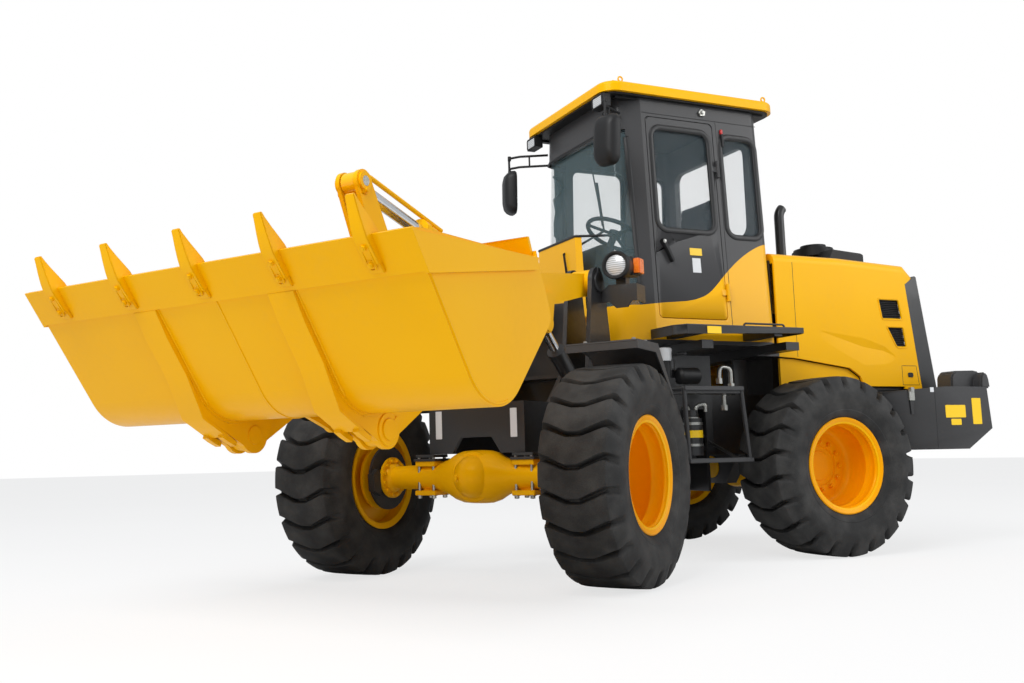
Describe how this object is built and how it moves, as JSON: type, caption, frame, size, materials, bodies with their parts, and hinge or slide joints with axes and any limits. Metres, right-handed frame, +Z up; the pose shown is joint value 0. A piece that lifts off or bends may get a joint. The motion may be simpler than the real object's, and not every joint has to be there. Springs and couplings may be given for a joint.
{
  "type": "wheel loader",
  "caption": "Compact articulated wheel loader with a cab, a Z-bar loader arm and a toothed bucket, standing with its front half turned to the left.",
  "frame": {"origin": "on the ground, in the middle of the machine's footprint box, with the front half turned as it stands", "axes": "+X forward along the rear half, +Y to its left, +Z up"},
  "size_m": [5.9277, 3.663, 2.9559],
  "materials": {
    "yellow_paint": "gloss",
    "black_paint": "semi-gloss",
    "dark_grey_paint": "satin",
    "cast_iron": "rough",
    "glass": "clear",
    "seat_cover": "matte",
    "plastic": "matte",
    "chrome": "polished",
    "tyre_rubber": "matte"
  },
  "bodies": {
    "chassis": {"rear_frame": "black_paint", "counterweight": "dark_grey_paint", "engine": "cast_iron", "rear_axle": "yellow_paint", "cab_shell": "black_paint", "cab_roof": "yellow_paint", "windshield": "glass", "cab_glass": "glass", "seat": "seat_cover", "steering_column": "plastic", "mirrors": "plastic", "platforms": "black_paint", "ladders": "black_paint", "work_lamps": "plastic", "side_gear": "black_paint", "side_panels": "yellow_paint"},
    "cab_door": {"door_left": "black_paint", "door_glass": "glass"},
    "bonnet": {"hood": "yellow_paint", "exhaust_stack": "black_paint", "air_intake": "plastic", "rear_surround": "black_paint"},
    "grille": {"rear_grille": "black_paint"},
    "front_half": {"front_frame": "black_paint", "front_axle": "yellow_paint", "mudguards": "dark_grey_paint", "headlamps": "black_paint"},
    "boom": {"boom": "yellow_paint"},
    "rocker": {"rocker": "yellow_paint"},
    "link": {"bucket_link": "yellow_paint"},
    "bucket": {"bucket": "yellow_paint", "bucket_teeth": "yellow_paint"},
    "tilt_barrel": {"tilt_barrel": "yellow_paint"},
    "tilt_rod": {"tilt_rod": "chrome"},
    "lift_barrel_left": {"lift_barrel_left": "yellow_paint"},
    "lift_rod_left": {"lift_rod_left": "chrome"},
    "steer_barrel_left": {"steer_barrel_left": "black_paint"},
    "steer_rod_left": {"steer_rod_left": "chrome"},
    "wheel_front_left": {"tyre_front_left": "tyre_rubber", "rim_front_left": "yellow_paint"},
    "wheel_rear_left": {"tyre_rear_left": "tyre_rubber", "rim_rear_left": "yellow_paint"},
    "lift_barrel_right": {"lift_barrel_right": "yellow_paint"},
    "lift_rod_right": {"lift_rod_right": "chrome"},
    "steer_barrel_right": {"steer_barrel_right": "black_paint"},
    "steer_rod_right": {"steer_rod_right": "chrome"},
    "wheel_front_right": {"tyre_front_right": "tyre_rubber", "rim_front_right": "yellow_paint"},
    "wheel_rear_right": {"tyre_rear_right": "tyre_rubber", "rim_rear_right": "yellow_paint"}
  },
  "joints": [
    {"name": "articulation", "type": "hinge", "parent": "chassis", "child": "front_half", "pos_m": [-0.294, -0.8325, 0.69], "axis": [0, 0, 1], "range_deg": [-70, 2]},
    {"name": "boom_lift", "type": "hinge", "parent": "front_half", "child": "boom", "pos_m": [0.19753, -0.4972, 1.617], "axis": [0.5635, -0.8261, 0], "range_deg": [-14, 70]},
    {"name": "bucket_tilt", "type": "hinge", "parent": "boom", "child": "bucket", "pos_m": [1.86129, 0.63774, 0.758], "axis": [-0.5635, 0.8261, 0], "range_deg": [0, 115]},
    {"name": "rocker_swing", "type": "hinge", "parent": "boom", "child": "rocker", "pos_m": [1.37968, 0.3092, 1.412], "axis": [0.5635, -0.8261, 0], "range_deg": [-1, 44.7]},
    {"name": "link_swing", "type": "hinge", "parent": "rocker", "child": "link", "pos_m": [1.3078, 0.26018, 1.03], "axis": [0.5635, -0.8261, 0], "range_deg": [-25.15, 1]},
    {"name": "tilt_barrel_swing", "type": "hinge", "parent": "front_half", "child": "tilt_barrel", "pos_m": [0.21818, -0.48311, 1.49], "axis": [0.5635, -0.8261, 0], "range_deg": [-14.86, 70.3]},
    {"name": "tilt_rod_slide", "type": "slide", "parent": "tilt_barrel", "child": "tilt_rod", "axis": [0.802, 0.5471, 0.2398], "range_m": [-0.3914, 0.01]},
    {"name": "lift_barrel_left_swing", "type": "hinge", "parent": "front_half", "child": "lift_barrel_left", "pos_m": [-0.18154, -0.32303, 0.7], "axis": [0.5635, -0.8261, 0], "range_deg": [-5.88, 25.4]},
    {"name": "lift_rod_left_slide", "type": "slide", "parent": "lift_barrel_left", "child": "lift_rod_left", "axis": [0.6427, 0.4384, 0.6283], "range_m": [-0.1116, 0.5178]},
    {"name": "lift_barrel_right_swing", "type": "hinge", "parent": "front_half", "child": "lift_barrel_right", "pos_m": [0.22138, -0.91369, 0.7], "axis": [0.5635, -0.8261, 0], "range_deg": [-5.88, 25.4]},
    {"name": "lift_rod_right_slide", "type": "slide", "parent": "lift_barrel_right", "child": "lift_rod_right", "axis": [0.6427, 0.4384, 0.6283], "range_m": [-0.1116, 0.5178]},
    {"name": "steer_barrel_left_swing", "type": "hinge", "parent": "chassis", "child": "steer_barrel_left", "pos_m": [-0.944, -0.5025, 0.7], "axis": [0, 0, 1], "range_deg": [-10.8, 1.28]},
    {"name": "steer_rod_left_slide", "type": "slide", "parent": "steer_barrel_left", "child": "steer_rod_left", "axis": [0.9988, -0.0489, 0], "range_m": [-0.0191, 0.3282]},
    {"name": "steer_barrel_right_swing", "type": "hinge", "parent": "chassis", "child": "steer_barrel_right", "pos_m": [-0.944, -1.1625, 0.7], "axis": [0, 0, 1], "range_deg": [-10.35, 1.27]},
    {"name": "steer_rod_right_slide", "type": "slide", "parent": "steer_barrel_right", "child": "steer_rod_right", "axis": [0.9773, 0.2121, 0], "range_m": [-0.331, 0.0192]},
    {"name": "wheel_front_left", "type": "hinge", "parent": "front_half", "child": "wheel_front_left", "pos_m": [0.27879, 0.51938, 0.5375], "axis": [-0.5635, 0.8261, 0], "continuous": true},
    {"name": "wheel_front_right", "type": "hinge", "parent": "front_half", "child": "wheel_front_right", "pos_m": [1.17367, -0.79247, 0.5375], "axis": [-0.5635, 0.8261, 0], "continuous": true},
    {"name": "wheel_rear_left", "type": "hinge", "parent": "chassis", "child": "wheel_rear_left", "pos_m": [-1.554, -0.0385, 0.5375], "axis": [0, 1, 0], "continuous": true},
    {"name": "wheel_rear_right", "type": "hinge", "parent": "chassis", "child": "wheel_rear_right", "pos_m": [-1.554, -1.6265, 0.5375], "axis": [0, 1, 0], "continuous": true},
    {"name": "cab_door_swing", "type": "hinge", "parent": "chassis", "child": "cab_door", "pos_m": [-1.076, -0.28621, 2.02055], "axis": [0, -0.0461, 0.9989], "range_deg": [0, 95]},
    {"name": "bonnet_lift", "type": "hinge", "parent": "chassis", "child": "bonnet", "pos_m": [-1.494, -0.8325, 1.87], "axis": [0, 1, 0], "range_deg": [0, 38]},
    {"name": "grille_swing", "type": "hinge", "parent": "bonnet", "child": "grille", "pos_m": [-2.77115, -1.3325, 1.44119], "axis": [0.1477, 0, 0.989], "range_deg": [0, 100]}
  ],
  "couplings": [
    {"joint": "rocker_swing", "follows": "bucket_tilt", "ratio": 0.38},
    {"joint": "link_swing", "follows": "bucket_tilt", "ratio": -0.21},
    {"joint": "tilt_barrel_swing", "follows": "boom_lift", "ratio": 0.99},
    {"joint": "tilt_rod_slide", "follows": "bucket_tilt", "m_per_rad": -0.19},
    {"joint": "lift_barrel_left_swing", "follows": "boom_lift", "ratio": 0.3486},
    {"joint": "lift_rod_left_slide", "follows": "boom_lift", "m_per_rad": 0.41564},
    {"joint": "lift_barrel_right_swing", "follows": "boom_lift", "ratio": 0.3486},
    {"joint": "lift_rod_right_slide", "follows": "boom_lift", "m_per_rad": 0.41564},
    {"joint": "steer_barrel_left_swing", "follows": "articulation", "ratio": 0.14},
    {"joint": "steer_rod_left_slide", "follows": "articulation", "m_per_rad": -0.26042},
    {"joint": "steer_barrel_right_swing", "follows": "articulation", "ratio": 0.1336},
    {"joint": "steer_rod_right_slide", "follows": "articulation", "m_per_rad": 0.26272}
  ]
}
